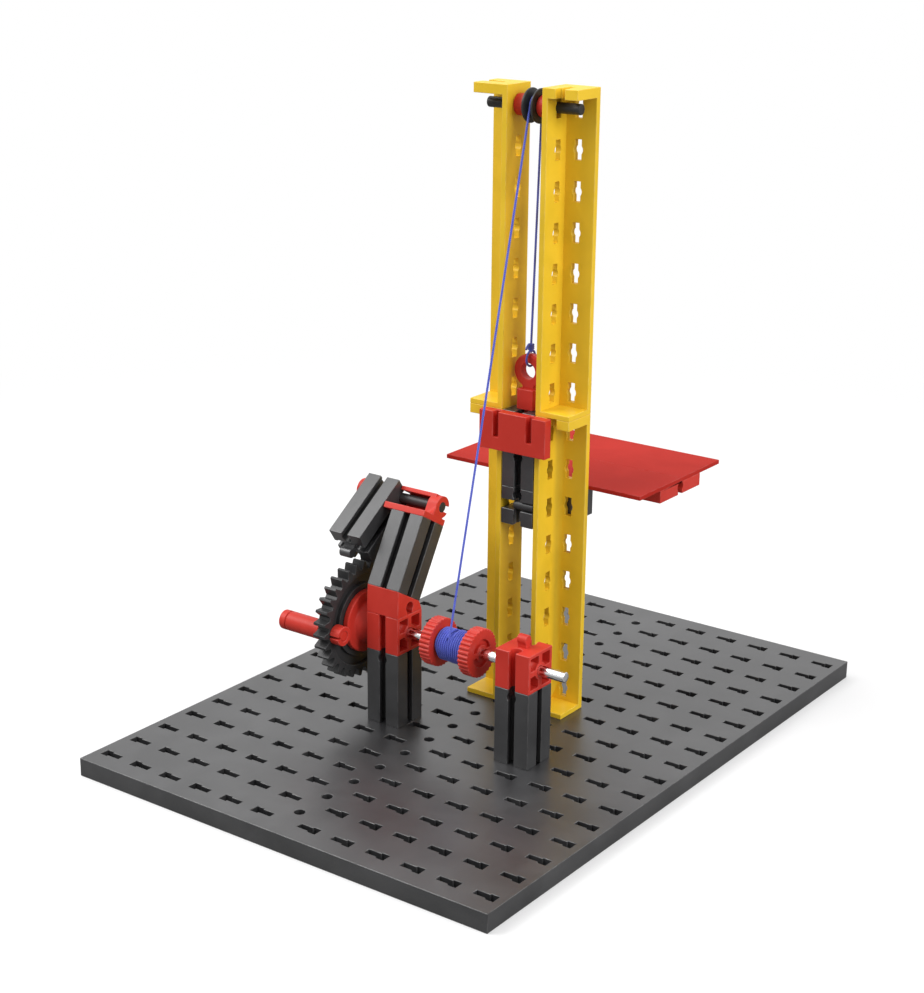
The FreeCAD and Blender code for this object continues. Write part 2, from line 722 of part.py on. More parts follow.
def girder(column, z, open_turn, foot_depth, foot_turn):
    """An angle girder: two windowed walls, a foot with a tenon, a head with a slot.

    The head's slot opens on the free side that open_turn points at: the front of a right girder, and
    the left side of a left one, which is the same piece turned a quarter.
    """
    x = column * module
    x0 = tower_left - girder_wall if x < tower_left else tower_right
    body = box(x0, x0 + girder_wall, tower_front, tower_back, z, z + girder_len)
    back = box(x - cell, x + cell, tower_back - girder_wall, tower_back, z, z + girder_len)
    foot = box(x - cell, x + cell, tower_front, tower_back, z, z + girder_foot_t)
    head = box(x - cell, x + cell, tower_front, tower_back, z + girder_len - girder_head_t, z + girder_len)
    body = body.fuse([back, foot, head]).removeSplitter()
    cutters = [slot_cutter(x, tower_y, z + girder_len - girder_head_t - past, z + girder_len + past,
                           open_turn, cell + past)]
    slit = window_slit_w / 2
    half = window_len / 2
    for row in range(int(girder_len / module)):
        middle = z + girder_len - (row + 0.5) * module
        for start, along, side in ((Vector(x0 - past, tower_y, middle), X_AXIS, Y_AXIS),
                                   (Vector(x, tower_back - girder_wall - past, middle), Y_AXIS, X_AXIS)):
            run = girder_wall + 2 * past
            low = start - Z_AXIS * half
            high = start + Z_AXIS * half
            corners = [low - side * slit, low + side * slit, high + side * slit, high - side * slit]
            slot = polygon(corners).extrude(along * run)
            cutters.append(rod(start, along, run, window_r).fuse(slot))
    body = body.cut(cutters)
    return body.fuse(slot_tenon(x, tower_y, z, foot_depth, foot_turn))


def top_parts():
    """The top axle, the grooved pulley in the middle of the tower and a bushing on each side."""
    axle = rod(Vector(-top_axle_left, tower_y, top_axle_z), X_AXIS, top_axle_len, axle_r)
    half = pulley_t / 2 - pulley_side_gap
    rim = half - pulley_rim
    floor = string_r + string_gap
    profile = [(-half, bore_r), (-half, pulley_r), (-rim, pulley_r), (-floor, pulley_groove_r),
               (floor, pulley_groove_r), (rim, pulley_r), (half, pulley_r), (half, bore_r)]
    points = [Vector(carriage_x + dx, tower_y + radius, top_axle_z) for dx, radius in profile]
    pulley = polygon(points).revolve(pulley_centre, X_AXIS, 360)
    nodes = {"top_axle": axle, "pulley": pulley}
    room = (tower_right - tower_left - pulley_t) / 2
    for name, x0 in (("bushing_left", tower_left), ("bushing_right", carriage_x + pulley_t / 2)):
        start = Vector(x0, tower_y, top_axle_z)
        ring = rod(start, X_AXIS, room, bushing_r)
        nodes[name] = ring.cut(rod(start - X_AXIS * past, X_AXIS, room + 2 * past, clamp_r))
    return nodes


def carriage_block(level):
    """A grooved block between the columns, its foot tenon in the block below."""
    z = lower_z + level * module
    width = tower_right - tower_left - 2 * guide_gap
    half = width / 2
    body = box(carriage_x - half, carriage_x + half, tower_front, tower_back, z, z + module)
    cutters = [groove(Vector(carriage_x, tower_front, z - past), Z_AXIS, -Y_AXIS, module + 2 * past),
               groove(Vector(carriage_x, tower_back, z - past), Z_AXIS, Y_AXIS, module + 2 * past),
               groove(Vector(carriage_x, tower_front - past, z + module), Y_AXIS, Z_AXIS, module + 2 * past)]
    body = body.cut(cutters)
    if level:
        body = body.fuse(tenon(Vector(carriage_x, tower_y, z), Y_AXIS, -Z_AXIS))
    return body


def lower_carriage_block():
    """The lowest block, slotted across at the front, deeper left of the pin, and notched below."""
    slot_z = lower_z + pin_slot_rise
    slot = box(tower_left, tower_right, tower_front - past, tower_front + pin_slot_depth,
               slot_z, slot_z + pin_slot_h)
    mouth = box(tower_left, tower_right - guide_gap - carriage_pin_len, tower_front - past,
                tower_front + pin_mouth_depth, slot_z, slot_z + pin_slot_h)
    notch = box(carriage_x - lower_notch_w / 2, carriage_x + lower_notch_w / 2, tower_front - past,
                tower_back + past, lower_z - past, lower_z + lower_notch_h)
    return carriage_block(0).cut([slot, mouth, notch])


def carriage_pin():
    """The round pin that lies in the right end of the lowest block's slot."""
    start = tower_right - guide_gap - carriage_pin_len
    middle = lower_z + pin_slot_rise + pin_slot_h / 2
    y = tower_front + pin_slot_depth - carriage_pin_r - key_gap / 2
    return rod(Vector(start, y, middle), X_AXIS, carriage_pin_len, carriage_pin_r)


def front_plate():
    """The red plate across the front of the columns, on a tenon in the upper block's groove."""
    half = front_plate_len / 2
    y1 = tower_front - guide_gap
    y0 = y1 - front_plate_t
    body = box(carriage_x - half, carriage_x + half, y0, y1, upper_z, carriage_top)
    for x in (tower_left, tower_right):
        body = body.cut(box(x - front_slot_w / 2, x + front_slot_w / 2, y0 - past, y1 - front_slot_floor,
                            carriage_top - front_slot_depth, carriage_top + past))
    back = Vector(carriage_x, y1, upper_z + module / 2)
    stem = box(carriage_x - tenon_w / 2, carriage_x + tenon_w / 2, y1 - sunk, y1 + guide_gap + sunk,
               back.z - tenon_len / 2, back.z + tenon_len / 2)
    return body.fuse([stem, tenon(back + Y_AXIS * guide_gap, Z_AXIS, Y_AXIS)])


def rear_block():
    """The long block behind the columns that carries the platform."""
    y = tower_back + guide_gap + cell
    body = block(carriage_x, y, lower_z, rear_block_len, module, ("back", "left", "right"), top_groove=False)
    cutters = [groove(Vector(x, y - cell - past, lower_z + module), Y_AXIS, Z_AXIS, module + 2 * past)
               for x in (carriage_x - cell, carriage_x + cell)]
    body = body.cut(cutters)
    front = Vector(carriage_x, y - cell, lower_z + module / 2)
    stem = box(carriage_x - tenon_w / 2, carriage_x + tenon_w / 2, front.y - guide_gap - sunk, front.y + sunk,
               front.z - tenon_len / 2, front.z + tenon_len / 2)
    return body.fuse([stem, tenon(front - Y_AXIS * guide_gap, Z_AXIS, -Y_AXIS)])


deck_z = lower_z + module
deck_y0 = tower_back + deck_start
deck_x0 = carriage_x - deck_len / 2
peg_offset = module / 2


def joining_centres():
    """The middles of the two joining blocks, under the seam at the deck's two ends."""
    half = joining_w / 2
    return {"joining_block_left": deck_x0 + half, "joining_block_right": deck_x0 + deck_len - half}


def deck_plate(row):
    """A thin deck plate, with pegs into the joining blocks and tenons into the rear block."""
    y0 = deck_y0 + row * deck_w
    body = box(deck_x0, deck_x0 + deck_len, y0, y0 + deck_w, deck_z, deck_z + deck_t)
    seam = deck_y0 + deck_w
    peg_y = seam - peg_offset if row == 0 else seam + peg_offset
    extras = [rod(Vector(x, peg_y, deck_z + deck_t / 2), -Z_AXIS, deck_t / 2 + deck_peg_len, deck_peg_r)
              for x in joining_centres().values()]
    if row == 0:
        y = tower_back + guide_gap + cell
        for x in (carriage_x - cell, carriage_x + cell):
            extras.append(tenon(Vector(x, y, deck_z), Y_AXIS, -Z_AXIS))
    return body.fuse(extras)


def joining_block(x):
    """A block that joins the two deck plates, with a keyhole notch in its sides."""
    seam = deck_y0 + deck_w
    half = joining_w / 2
    body = box(x - half, x + half, seam - joining_len / 2, seam + joining_len / 2, deck_z - joining_h, deck_z)
    cutters = [rod(Vector(x, y, deck_z - deck_peg_len - key_gap), Z_AXIS,
                   deck_peg_len + key_gap + past, deck_peg_r + key_gap)
               for y in (seam - peg_offset, seam + peg_offset)]
    run = Vector(x - half - past, seam, deck_z - joining_h)
    cutters.append(groove(run, X_AXIS, -Z_AXIS, joining_w + 2 * past))
    return body.cut(cutters)


def eye():
    """The eye on the carriage: square base with a foot tenon, rounded ring above it."""
    half = eye_base / 2
    body = box(carriage_x - half, carriage_x + half, tower_y - half, tower_y + half,
               carriage_top, carriage_top + eye_base_h)
    centre = Vector(carriage_x, tower_y, carriage_top + eye_rise)
    ring = rod(centre - Y_AXIS * (eye_t / 2), Y_AXIS, eye_t, eye_r)
    ring = ring.makeFillet(eye_edge_r, [edge for edge in ring.Edges if edge.Length > 2 * eye_t])
    hole = rod(centre - Y_AXIS * eye_t, Y_AXIS, 2 * eye_t, eye_hole_r)
    neck = box(carriage_x - eye_neck / 2, carriage_x + eye_neck / 2, tower_y - eye_t / 2, tower_y + eye_t / 2,
               carriage_top + eye_base_h - sunk, centre.z - eye_hole_r)
    foot = tenon(Vector(carriage_x, tower_y, carriage_top), Y_AXIS, -Z_AXIS)
    body = body.fuse([ring, neck, foot])
    return body.cut(hole)


def string_knot():
    """The string's loop round the eye's upper limb, the knot above it and the loose tail."""
    inner = eye_hole_r
    limb = carriage_top + eye_rise + (eye_r + inner) / 2
    half = math.hypot((eye_r - inner) / 2, eye_t / 2) + string_gap / 2 + string_r
    loop = Part.makeTorus(half, string_r, Vector(carriage_x, tower_y, limb), X_AXIS)
    middle = knot_top - Z_AXIS * knot_r
    knot = Part.makeSphere(knot_r, middle)
    tail_dir = Vector(1, -2, -0.4).normalize()
    tail = rod(middle, tail_dir, tail_len, string_r)
    return loop.fuse([knot, tail])


nodes = {
    "base_plate": base_plate(),
    "winch_post_left": winch_post(left_post_x),
    "winch_post_right": winch_post(right_post_x),
    "bearing_block_left": bearing_block(left_post_x),
    "bearing_block_right": bearing_block(right_post_x),
    "wedge_block": wedge_block(),
    "pawl_post": leaning_post(),
    "hinge_bracket": hinge_bracket(),
    "hinge_axle": rod(hinge_axis + X_AXIS * clip_x0, X_AXIS, hinge_x1 - clip_x0, axle_r),
    "hinge_clip": hinge_clip(),
    "pawl_block": pawl_block(),
    "winch_axle": rod(Vector(winch_axle_start, winch_y, winch_z), X_AXIS, winch_axle_len, axle_r),
    "drive_gear": gear(),
    "hub_collet": hub_collet(),
    "hub_nut": hub_nut(),
    "drum_core": drum_core(),
    "drum_flange_left": drum_flange(drum_x0, drum_x0 + drum_flange_t),
    "drum_flange_right": drum_flange(core_x1, drum_x1),
    "string_winding": string_winding(),
    "string_run": string_run(),
    "string_hoist": string_hoist(),
    "string_knot": string_knot(),
    "girder_lower_left": girder(left_girder_column, plate_t, left_turn, plate_tenon_depth,
                                plate_turn(left_girder_column)),
    "girder_lower_right": girder(right_girder_column, plate_t, right_turn, plate_tenon_depth,
                                 plate_turn(right_girder_column)),
    "girder_upper_left": girder(left_girder_column, plate_t + girder_len, left_turn, girder_head_tenon,
                                left_turn),
    "girder_upper_right": girder(right_girder_column, plate_t + girder_len, right_turn, girder_head_tenon,
                                 right_turn),
    "carriage_block_upper": carriage_block(2),
    "carriage_block_middle": carriage_block(1),
    "carriage_block_lower": lower_carriage_block(),
    "carriage_pin": carriage_pin(),
    "front_plate": front_plate(),
    "eye": eye(),
    "rear_block": rear_block(),
    "deck_front": deck_plate(0),
    "deck_rear": deck_plate(1),
}
nodes.update(crank_parts())
nodes.update(top_parts())
for name, x in joining_centres().items():
    nodes[name] = joining_block(x)

print("hinge axis y %.3f z %.3f, pawl drops %.3f degrees from rest"
      % (hinge_axis.y, hinge_axis.z, math.degrees(pawl_drop_angle - pawl_rest_angle)))
print("lift per radian %.3f mm, pulley ratio %.5f" % (run_r, run_r / pulley_string_r))

os.makedirs("parts", exist_ok=True)
for name, shape in nodes.items():
    if not shape.isValid() or len(shape.Solids) != 1:
        print("%s: valid %s, solids %d" % (name, shape.isValid(), len(shape.Solids)))
    shape.exportStep("parts/%s.step" % name)
print("%d nodes written" % len(nodes))
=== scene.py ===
import math

import bmesh
import bpy
import numpy as np
from mathutils import Matrix, Vector
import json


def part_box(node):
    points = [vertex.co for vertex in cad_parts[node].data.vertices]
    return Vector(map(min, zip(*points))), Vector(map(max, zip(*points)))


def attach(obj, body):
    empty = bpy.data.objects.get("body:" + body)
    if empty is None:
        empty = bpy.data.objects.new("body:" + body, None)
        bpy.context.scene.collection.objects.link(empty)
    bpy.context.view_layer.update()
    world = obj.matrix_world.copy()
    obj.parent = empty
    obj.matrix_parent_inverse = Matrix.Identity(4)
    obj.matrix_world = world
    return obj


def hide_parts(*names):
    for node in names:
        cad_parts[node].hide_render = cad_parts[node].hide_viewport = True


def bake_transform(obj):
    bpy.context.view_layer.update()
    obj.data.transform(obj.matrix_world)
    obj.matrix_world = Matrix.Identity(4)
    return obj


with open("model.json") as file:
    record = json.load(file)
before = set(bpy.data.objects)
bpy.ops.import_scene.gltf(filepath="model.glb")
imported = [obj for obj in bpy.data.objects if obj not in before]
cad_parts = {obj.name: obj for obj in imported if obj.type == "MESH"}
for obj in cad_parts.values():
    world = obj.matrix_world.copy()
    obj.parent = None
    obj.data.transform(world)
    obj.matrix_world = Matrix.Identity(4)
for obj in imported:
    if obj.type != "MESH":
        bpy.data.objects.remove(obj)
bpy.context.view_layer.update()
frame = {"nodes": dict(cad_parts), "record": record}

# Camera: a long lens held level to the model's right and front, a little above its top and tilted
# down by 19 degrees. The three axes are the picture's right, up and backward directions.
scene = bpy.context.scene
view = bpy.data.cameras.new("camera")
view.sensor_fit = "HORIZONTAL"
view.sensor_width = 36.0
view.lens = 75.385
view.shift_x = 0.0236
view.shift_y = 0.0368
view.clip_start = 0.05
view.clip_end = 20.0
camera_place = (0.40348, -0.57087, 0.32217)
right = Vector((0.7999, 0.6002, 0.0051)).normalized()
backward = Vector((0.5659, -0.7570, 0.3266)).normalized()
upward = backward.cross(right).normalized()
axes = Matrix((right, upward, backward)).transposed().to_4x4()
camera = bpy.data.objects.new("camera", view)
camera.matrix_world = Matrix.Translation(camera_place) @ axes
scene.collection.objects.link(camera)
scene.camera = camera
scene.view_settings.view_transform = "Standard"


# White table and studio: a broad sheet of white paper, a room that is white to look at, one wide
# soft light overhead, one from the front and left, one from the right, and one behind to the left
# whose gloss lies on the tops.
class Tone:
    """One shader value: Python's operators on it add the Math nodes that work it out."""

    def __init__(self, board, socket):
        self.board = board
        self.socket = socket

    def join(self, operation, first, second):
        return self.board.node("Math", {"operation": operation}, {0: first, 1: second})

    def __add__(self, other):
        return self.join("ADD", self, other)

    def __sub__(self, other):
        return self.join("SUBTRACT", self, other)

    def __rsub__(self, other):
        return self.join("SUBTRACT", other, self)

    def __mul__(self, other):
        return self.join("MULTIPLY", self, other)

    __radd__ = __add__
    __rmul__ = __mul__


class Board:
    """The node tree of a material or of the world."""

    def __init__(self, owner):
        owner.use_nodes = True
        self.tree = owner.node_tree
        self.tree.nodes.clear()

    def node(self, kind, settings=None, inputs=None, output=0):
        """Any node: its type, its settings, the values or links of its sockets, its output."""
        made = self.tree.nodes.new("ShaderNode" + kind)
        for key, value in (settings or {}).items():
            setattr(made, key, value)
        for key, value in (inputs or {}).items():
            if isinstance(value, Tone):
                self.tree.links.new(value.socket, made.inputs[key])
            else:
                made.inputs[key].default_value = value
        return Tone(self, made.outputs[output]) if made.outputs else made

    def blend(self, share, first, second):
        """The colour first where the share is 0 and second where it is 1."""
        return self.node("Mix", {"data_type": "RGBA"}, {"Factor": share, 6: first, 7: second},
                         output=2)

    def spread(self, value, low, high, to_low=0.0, to_high=1.0):
        """A smooth step from to_low to to_high while the value goes from low to high."""
        return self.node("MapRange", {"interpolation_type": "SMOOTHSTEP"}, {
            "Value": value, "From Min": low, "From Max": high, "To Min": to_low, "To Max": to_high})


def seen(board, gloss):
    """1 on rays from the camera or through clear matter, a share on gloss, 0 on all others."""
    rays = [board.node("LightPath", output=name) for name in
            ("Is Camera Ray", "Is Glossy Ray", "Is Transmission Ray")]
    return board.node("Clamp", {}, {"Value": rays[0] + rays[1] * gloss + rays[2]})


full_white = (1.0, 1.0, 1.0, 1.0)
scene.world = bpy.data.worlds.new("room")
room = Board(scene.world)
ambient = room.node("Background", {}, {"Color": full_white, "Strength": 0.45})
backdrop = room.node("Background", {}, {"Color": full_white, "Strength": 1.0})
room.node("OutputWorld", {}, {"Surface": room.node("MixShader", {}, {
    0: seen(room, gloss=0.9), 1: ambient, 2: backdrop})})

# Near the model the paper shows its own white and the shadow, and further out the room's white.
# Rays that aren't seen meet a dimmer paper, so that little light comes up from below.
paper_white, paper_fibre = (0.86, 0.86, 0.87, 1.0), (0.89, 0.89, 0.89, 1.0)
paper_bounce = (0.27, 0.27, 0.27, 1.0)
shadow_reach, white_reach, least_glow = 0.16, 0.62, 0.35
paper = bpy.data.materials.new("white_paper")
sheet = Board(paper)
position = sheet.node("TexCoord", output="Object")
fibre = sheet.node("TexNoise", {}, {"Vector": position, "Scale": 900.0, "Detail": 3.0})
matt = sheet.node("BsdfPrincipled", {}, {
    "Base Color": sheet.blend(seen(sheet, gloss=0.0), paper_bounce,
                              sheet.blend(fibre, paper_white, paper_fibre)),
    "Roughness": 0.7, "Specular IOR Level": 0.2})
glow = sheet.node("Emission", {}, {"Color": full_white, "Strength": 1.0})
distance = sheet.node("VectorMath", {"operation": "LENGTH"}, {0: position}, output="Value")
lift = sheet.spread(distance, shadow_reach, white_reach, least_glow, 1.0)
sheet.node("OutputMaterial", {}, {"Surface": sheet.node("MixShader", {}, {
    0: lift * seen(sheet, gloss=0.1), 1: matt, 2: glow})})

# An 8 m square, a tenth of a millimetre under the plate so that the two faces don't meet
square = bpy.data.meshes.new("table")
square.from_pydata([(-4, -4, 0), (4, -4, 0), (4, 4, 0), (-4, 4, 0)], [], [(0, 1, 2, 3)])
square.materials.append(paper)
table = bpy.data.objects.new("table", square)
table.location.z = -0.0001
scene.collection.objects.link(table)

for name, place, aim, side, power in (
        ("overhead", (-0.15, 0.10, 1.30), (0.0, 0.0, 0.08), 1.50, 5.0),
        ("front_left", (-0.95, -0.70, 1.25), (0.0, 0.0, 0.12), 1.00, 21.0),
        ("right", (1.30, -0.10, 0.75), (0.0, 0.0, 0.12), 0.90, 14.0),
        ("back_left", (-0.50, 0.80, 1.15), (0.05, -0.10, 0.0), 0.90, 1.8)):
    lamp = bpy.data.lights.new(name, "AREA")
    lamp.size = side
    lamp.energy = power
    light = bpy.data.objects.new(name, lamp)
    away = (Vector(place) - Vector(aim)).to_track_quat("Z", "Y")
    light.matrix_world = Matrix.Translation(place) @ away.to_matrix().to_4x4()
    scene.collection.objects.link(light)


# Base plate: one large moulding in dark grey plastic with a fine matt grain. Two mirrored fields
# of keyhole slots and a row of round holes take the tenons of everything that stands on it.
mm = 0.001
bodies = frame["record"]["behaviour"]["bodies"]
body_of = {node: body for body, nodes in bodies.items() for node in nodes}


def rims(edges, least):
    """The edges of those connected rims that reach over more than a least distance."""
    left = set(edges)
    kept = []
    while left:
        rim = [left.pop()]
        for edge in rim:
            joined = [other for vert in edge.verts for other in vert.link_edges if other in left]
            left.difference_update(joined)
            rim += dict.fromkeys(joined)
        ends = np.array([vert.co for edge in rim for vert in edge.verts])
        if np.ptp(ends, axis=0).max() > least:
            kept += rim
    return kept


def finished(mesh):
    """An object from a mesh: smooth faces, sharp only past 40 degrees, large faces kept flat."""
    mesh.shade_smooth()
    mesh.set_sharp_from_angle(angle=math.radians(40))
    piece = bpy.data.objects.new(mesh.name, mesh)
    scene.collection.objects.link(piece)
    flat = piece.modifiers.new("flat_faces", "WEIGHTED_NORMAL")
    flat.keep_sharp = True
    return piece


def rounded(node, radius, least):
    """A solid's own surface with its outside corners rounded to a radius.

    Triangles are merged and flat neighbours joined. Each edge where two faces turn outward by more
    than 34 degrees becomes a band of three faces on an arc, and these carry wear = 1. Rims no
    larger than least, such as those of small windows, stay sharp.
    """
    outward_turn = math.radians(34)
    shape = bmesh.new()
    shape.from_mesh(frame["nodes"][node].data)
    bmesh.ops.remove_doubles(shape, verts=shape.verts, dist=0.002 * mm)
    bmesh.ops.dissolve_limit(shape, angle_limit=0.01, verts=shape.verts, edges=shape.edges)
    wear = shape.faces.layers.float.new("wear")
    outside = [edge for edge in shape.edges
               if edge.is_manifold and edge.calc_face_angle_signed(0.0) > outward_turn]
    bands = bmesh.ops.bevel(shape, geom=rims(outside, least), offset=radius, offset_type="OFFSET",
                            segments=3, profile=0.5, affect="EDGES", clamp_overlap=False,
                            loop_slide=False)
    for face in bands["faces"]:
        face[wear] = 1.0
    mesh = bpy.data.meshes.new(node + "_moulded")
    shape.to_mesh(mesh)
    shape.free()
    return finished(mesh)


def dress(piece, node, finish, stretch=None):
    """The piece takes a solid's place: its body and its finish, which the hidden solid takes too.

    Only whether stretch is given is used: the piece's place is then baked into its mesh and it
    joins no body; its bodies and points are not used.
    """
    piece.data.materials.clear()
    piece.data.materials.append(finish)
    hidden = frame["nodes"][node].data.materials
    hidden.clear()
    hidden.append(finish)
    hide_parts(node)
    if stretch:
        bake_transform(piece)
    else:
        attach(piece, body_of[node])


def mould(finish, radius, *nodes, least=0.0):
    """Each solid moulded in a finish, with its corners rounded. Sizes are in millimetres."""
    for node in nodes:
        dress(rounded(node, radius * mm, least * mm), node, finish)


def moulded_plastic(name, slot, colour, roughness, grain, flow, bare, gloss, coat=0.0):
    """Moulded plastic: cloudy tone from the melt's flow, a spark-eroded grain, rubbed corners.

    Tone = colour x (1 -+ flow) by a broad noise, lighter by the share bare on rubbed corners and in
    fine scuffs. Roughness rises in scuffs and with the grain and falls on rubbed corners. grain is
    the grain's size, gloss the specular level and coat the strength of a polished skin.
    """
    finish = bpy.data.materials.new(name)
    finish["slot"] = slot
    board = Board(finish)
    position = board.node("TexCoord", output="Object")
    melt = board.node("TexNoise", {}, {
        "Vector": position, "Scale": 42.0, "Detail": 4.0, "Distortion": 0.6})
    patch = board.node("TexNoise", {}, {
        "Vector": position, "Scale": 260.0, "Detail": 5.0, "Roughness": 0.65})
    spark = board.node("TexNoise", {}, {"Vector": position, "Scale": 1.0 / grain, "Detail": 2.0})
    combed = board.node("Mapping", {}, {
        "Vector": position, "Rotation": (0.5, 0.3, 0.8), "Scale": (2600.0, 90.0, 700.0)})
    scratch = board.node("TexNoise", {}, {"Vector": combed, "Scale": 1.0, "Detail": 2.0})
    scuff = board.spread(scratch, 0.66, 0.8) * board.spread(patch, 0.45, 0.65)
    corner = board.node("Attribute", {"attribute_name": "wear"}, output="Fac")
    rubbed = corner * board.spread(patch, 0.35, 0.62)
    deep = tuple(part * (1 - flow) for part in colour) + (1.0,)
    light = tuple(min(1.0, part * (1 + flow) + 0.1 * flow) for part in colour) + (1.0,)
    worn = tuple(part + (1 - part) * 0.30 for part in colour) + (1.0,)
    tone = board.blend(board.spread(melt, 0.3, 0.7), deep, light)
    tone = board.blend(spark * (0.5 * flow), tone, worn)
    tone = board.blend(rubbed * bare + scuff * (0.5 * bare), tone, worn)
    rough = (spark - 0.5) * 0.12 + (melt - 0.5) * 0.10 + scuff * 0.10 - rubbed * 0.08 + roughness
    bump = board.node("Bump", {}, {
        "Strength": 0.35, "Distance": 0.035 * mm, "Height": spark + patch * 0.8 - scuff * 0.5})
    shader = board.node("BsdfPrincipled", {}, {
        "Base Color": tone, "Roughness": rough, "Normal": bump, "IOR": 1.5,
        "Specular IOR Level": gloss, "Coat Weight": coat, "Coat Roughness": 0.34})
    board.node("OutputMaterial", {}, {"Surface": shader})
    return finish


dark_plastic = moulded_plastic(
    "dark_plastic_grained", "dark_plastic", (0.012, 0.012, 0.0135),
    roughness=0.37, grain=0.32 * mm, flow=0.16, bare=0.16, gloss=0.5, coat=0.5)
mould(dark_plastic, 0.22, "base_plate")


# Winch posts and leaning post: square blocks of the same dark plastic. Keyhole grooves run up
# their sides, and a tenon under each one slides into the plate or into the wedge.
mould(dark_plastic, 0.22, "winch_post_left", "winch_post_right", "pawl_post")


# Bearing blocks and wedge: red plastic, pressed onto the posts by their tenons. The blocks' walls
# round the axle are cored out in four pockets a side, and the wedge tilts the leaning post.
red_plastic = moulded_plastic(
    "red_plastic_grained", "red_plastic", (0.570, 0.029, 0.016),
    roughness=0.42, grain=0.25 * mm, flow=0.07, bare=0.14, gloss=0.22)
mould(red_plastic, 0.30, "bearing_block_left", "bearing_block_right", "wedge_block")


# Pawl hinge: a red bracket in the leaning post's end groove holds a black axle, a red collar keeps
# it in, and the grooved pawl block hangs on it by its end groove, its tip over the wheel's teeth.
def eased(corners, radius, closed):
    """An outline with its corners eased, in place and radius from an axle.

    Each corner c gives the points (1-t)^2 a + 2t(1-t) c + t^2 b, where a and b lie on its two edges
    at the radius from it, or at half an edge where that is nearer. An open outline keeps its ends.
    """
    points_a_corner = 5
    corners = np.asarray(corners, float) * mm
    before = np.roll(corners, 1, axis=0) - corners
    after = np.roll(corners, -1, axis=0) - corners
    sides = []
    for lead in (before, after):
        length = np.linalg.norm(lead, axis=1, keepdims=True)
        sides.append((corners + lead / length * np.minimum(radius, length * 0.49))[:, None])
    t = np.linspace(0, 1, points_a_corner)[None, :, None]
    curve = (1 - t) ** 2 * sides[0] + 2 * t * (1 - t) * corners[:, None] + t ** 2 * sides[1]
    if closed:
        return curve.reshape(-1, 2)
    return np.vstack([corners[:1], curve[1:-1].reshape(-1, 2), corners[-1:]])


def skin(name, grid, closed=False, run=None):
    """A tube-like surface through a grid of points, rows along it and columns round it.

    Every cell is a face that looks outward where the columns turn right-handed about the rows'
    direction. A closed tube joins its last row to its first, an open one has a flat face at each
    end. run gives each row its distance along, for the UV map: u along, v round.
    """
    rows, columns = grid.shape[:2]
    row = np.arange(rows if closed else rows - 1)[:, None]
    column = np.arange(columns)[None, :]
    after = (row + 1) % rows
    beside = (column + 1) % columns
    quads = np.stack([row * columns + column, row * columns + beside,
                      after * columns + beside, after * columns + column], axis=-1)
    faces = quads.reshape(-1, 4).tolist()
    if not closed:
        first = list(range(columns))
        faces += [first[::-1], [point + (rows - 1) * columns for point in first]]
    mesh = bpy.data.meshes.new(name)
    mesh.from_pydata(grid.reshape(-1, 3).tolist(), [], faces)
    if run is not None:
        round_0 = np.broadcast_to(column / columns, quads.shape[:2])
        round_1 = round_0 + 1 / columns
        along_0 = np.broadcast_to(run[row], quads.shape[:2])
        along_1 = np.broadcast_to(run[row + 1], quads.shape[:2])
        cells = np.stack([along_0, round_0, along_0, round_1,
                          along_1, round_1, along_1, round_0], axis=-1).reshape(-1, 2)
        corners = np.zeros((len(mesh.loops), 2))
        corners[:len(cells)] = cells
        mesh.uv_layers.new(name="thread").data.foreach_set("uv", corners.ravel())
    return finished(mesh)


def turned(node, outline, radius, closed, columns=64):
    """A piece turned about its axle: the eased outline (place x, radius r) carried round it.

    Each point is (x, middle y + r cos a, middle z + r sin a), with x from the solid's left end and
    the middle taken from the solid's box. The outline and the corners' radius are in millimetres.
    """
    low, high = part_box(node)
    line = eased(outline, radius * mm, closed)
    angle = np.linspace(0, 2 * math.pi, columns, endpoint=False)
    grid = np.empty((len(line), columns, 3))
    grid[..., 0] = low.x + line[:, :1]
    grid[..., 1] = (low.y + high.y) / 2 + line[:, 1:] * np.cos(angle)
    grid[..., 2] = (low.z + high.z) / 2 + line[:, 1:] * np.sin(angle)
    return skin(node + "_turned", grid, closed)


def rod(node, radius, chamfer):
    """A round rod with eased ends, as long as its solid."""
    low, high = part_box(node)
    length = (high.x - low.x) / mm
    end_r = 0.2 * radius
    outline = [(0, end_r), (0, radius), (length, radius), (length, end_r)]
    return turned(node, outline, chamfer, closed=False)


def sleeve(node, radius, bore, chamfer):
    """A round sleeve with eased rims, as long as its solid."""
    low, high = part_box(node)
    length = (high.x - low.x) / mm
    outline = [(0, radius), (length, radius), (length, bore), (0, bore)]
    return turned(node, outline, chamfer, closed=True)


axle_r, tight_bore, free_bore = 2.0, 2.01, 2.05
black_plastic = moulded_plastic(
    "black_plastic_grained", "black_plastic", (0.012, 0.012, 0.013),
    roughness=0.36, grain=0.30 * mm, flow=0.18, bare=0.10, gloss=0.25)
mould(red_plastic, 0.25, "hinge_bracket")
dress(rod("hinge_axle", axle_r, chamfer=0.35), "hinge_axle", black_plastic)
dress(sleeve("hinge_clip", 4.3, tight_bore, chamfer=0.9), "hinge_clip", red_plastic)
mould(dark_plastic, 0.22, "pawl_block")


